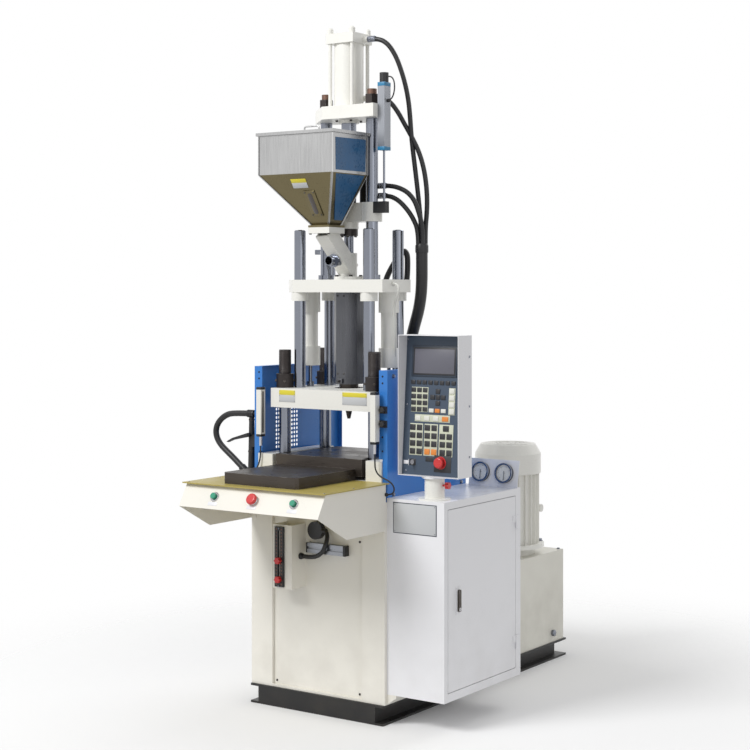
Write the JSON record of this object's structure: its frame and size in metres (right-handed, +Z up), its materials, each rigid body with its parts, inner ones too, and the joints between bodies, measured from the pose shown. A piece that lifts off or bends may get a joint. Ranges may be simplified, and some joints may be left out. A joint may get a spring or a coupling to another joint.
{
  "type": "vertical injection molding machine",
  "caption": "Floor-standing vertical injection molding machine with a sliding lower table, hopper-fed screw unit, control panel and oil tank.",
  "frame": {"origin": "on the floor under the clamp axis", "axes": "+X to the machine's right as the operator sees it, +Y to the back, +Z up"},
  "size_m": [1.1033, 1.7692, 2.522],
  "materials": {
    "cream_paint": "satin",
    "white_paint": "satin",
    "blue_paint": "satin",
    "black_paint": "satin",
    "olive_paint": "satin",
    "dark_steel": "satin",
    "ground_steel": "polished",
    "stainless": "brushed",
    "aluminium": "satin",
    "slate_paint": "satin",
    "tank_paint": "satin",
    "red_plastic": "gloss",
    "green_plastic": "gloss",
    "black_plastic": "matte",
    "gauge_case": "polished",
    "hose_rubber": "matte"
  },
  "bodies": {
    "base": {"base_frame": "black_paint", "main_frame": "cream_paint", "front_cover": "cream_paint", "fixed_platen": "white_paint", "slide_bed": "dark_steel", "work_table": "olive_paint", "control_box": "cream_paint", "sensor_bracket": "white_paint", "sensor_rail": "black_paint", "position_sensor": "aluminium", "left_guard": "blue_paint", "right_guard": "blue_paint", "light_curtains": "white_paint", "cabinet_box": "cream_paint", "panel_pedestal": "white_paint", "gauge_cases": "gauge_case", "oil_tank": "tank_paint", "motor_body": "white_paint", "motor_fan_cover": "white_paint", "lubricator": "black_plastic", "lubricator_hose": "hose_rubber", "hose_sleeve": "hose_rubber"},
    "clamp": {"moving_platen": "white_paint", "tie_bars": "ground_steel", "lower_crosshead": "white_paint", "guide_posts": "ground_steel", "seat_rods": "ground_steel"},
    "seat": {"seat_plate": "white_paint", "seat_cylinders": "white_paint", "barrel": "dark_steel", "barrel_shield": "dark_steel", "feed_chute": "white_paint", "hopper": "stainless", "hopper_lid": "stainless", "injection_rods": "ground_steel", "top_plate": "white_paint", "injection_cylinder": "white_paint", "transducer_body": "aluminium", "hydraulic_hoses": "hose_rubber"},
    "injection": {"injection_crosshead": "white_paint", "screw_motor": "black_plastic"},
    "screw": {"screw": "ground_steel"},
    "lower_table": {"slide_table": "dark_steel"},
    "door": {"cabinet_door": "cream_paint"},
    "lock": {"door_lock": "ground_steel"},
    "panel": {"panel_housing": "white_paint", "panel_face": "slate_paint"},
    "panel_stop": {"panel_stop": "red_plastic"},
    "key": {"key_switch": "gauge_case"},
    "swivel_knob": {"pedestal_knob": "red_plastic"},
    "start_left": {"start_button_left": "green_plastic"},
    "start_right": {"start_button_right": "green_plastic"},
    "front_stop": {"front_stop": "red_plastic"},
    "knob_upper": {"rail_knob_upper": "red_plastic"},
    "knob_lower": {"rail_knob_lower": "red_plastic"},
    "shutter": {"chute_shutter": "ground_steel"},
    "lube_lever": {"lubricator_lever": "black_plastic"},
    "needle_left": {"gauge_needle_left": "black_plastic"},
    "needle_right": {"gauge_needle_right": "black_plastic"},
    "rotor": {"motor_rotor": "ground_steel"}
  },
  "joints": [
    {"name": "clamp_slide", "type": "slide", "parent": "base", "child": "clamp", "axis": [0, 0, 1], "range_m": [-0.12, 0], "deforming": ["hose_sleeve"]},
    {"name": "seat_slide", "type": "slide", "parent": "clamp", "child": "seat", "axis": [0, 0, 1], "range_m": [0, 0.12], "deforming": ["hose_sleeve"]},
    {"name": "injection_slide", "type": "slide", "parent": "seat", "child": "injection", "axis": [0, 0, 1], "range_m": [-0.042, 0], "deforming": ["hydraulic_hoses"]},
    {"name": "screw_spin", "type": "hinge", "parent": "injection", "child": "screw", "pos_m": [0, 0, 1.75], "axis": [0, 0, 1], "continuous": true},
    {"name": "table_slide", "type": "slide", "parent": "base", "child": "lower_table", "axis": [0, -1, 0], "range_m": [0, 0.33]},
    {"name": "door_hinge", "type": "hinge", "parent": "base", "child": "door", "pos_m": [0.5462, 0.306, 0.46], "axis": [0, 0, 1], "range_deg": [0, 110]},
    {"name": "lock_turn", "type": "hinge", "parent": "door", "child": "lock", "pos_m": [0.545, -0.1, 0.486], "axis": [1, 0, 0], "range_deg": [0, 90]},
    {"name": "panel_swivel", "type": "hinge", "parent": "base", "child": "panel", "pos_m": [0.461, -0.125, 0.882], "axis": [0, 0, 1], "range_deg": [-60, 60]},
    {"name": "panel_stop_press", "type": "slide", "parent": "panel", "child": "panel_stop", "axis": [0, 0.9973, -0.073], "range_m": [0, 0.004], "stiffness_N_per_m": 900},
    {"name": "key_turn", "type": "hinge", "parent": "panel", "child": "key", "pos_m": [0.3815, -0.14478, 0.935], "axis": [0, -0.9973, 0.073], "range_deg": [-90, 0]},
    {"name": "swivel_knob_turn", "type": "hinge", "parent": "base", "child": "swivel_knob", "pos_m": [0.51, -0.125, 0.858], "axis": [1, 0, 0], "continuous": true},
    {"name": "start_left_press", "type": "slide", "parent": "base", "child": "start_left", "axis": [0, 0.8662, -0.4997], "range_m": [0, 0.005], "stiffness_N_per_m": 900},
    {"name": "start_right_press", "type": "slide", "parent": "base", "child": "start_right", "axis": [0, 0.8662, -0.4997], "range_m": [0, 0.005], "stiffness_N_per_m": 900},
    {"name": "front_stop_press", "type": "slide", "parent": "base", "child": "front_stop", "axis": [0, 0.8662, -0.4997], "range_m": [0, 0.005], "stiffness_N_per_m": 900},
    {"name": "knob_upper_slide", "type": "slide", "parent": "base", "child": "knob_upper", "axis": [0, 0, 1], "range_m": [-0.018, 0.1]},
    {"name": "knob_lower_slide", "type": "slide", "parent": "base", "child": "knob_lower", "axis": [0, 0, 1], "range_m": [-0.008, 0.018]},
    {"name": "shutter_slide", "type": "slide", "parent": "seat", "child": "shutter", "axis": [-1, 0, 0], "range_m": [0, 0.04]},
    {"name": "lube_lever_swing", "type": "hinge", "parent": "base", "child": "lube_lever", "pos_m": [-0.334, -0.185, 0.997], "axis": [0, 1, 0], "range_deg": [-25, 35]},
    {"name": "needle_left_turn", "type": "hinge", "parent": "base", "child": "needle_left", "pos_m": [0.381, 0.32799, 0.857], "axis": [0, -0.9848, 0.1736], "range_deg": [-270, 0]},
    {"name": "needle_right_turn", "type": "hinge", "parent": "base", "child": "needle_right", "pos_m": [0.483, 0.32799, 0.857], "axis": [0, -0.9848, 0.1736], "range_deg": [-270, 0]},
    {"name": "rotor_spin", "type": "hinge", "parent": "base", "child": "rotor", "pos_m": [0.15, 0.93, 0.6], "axis": [0, 0, 1], "continuous": true}
  ]
}
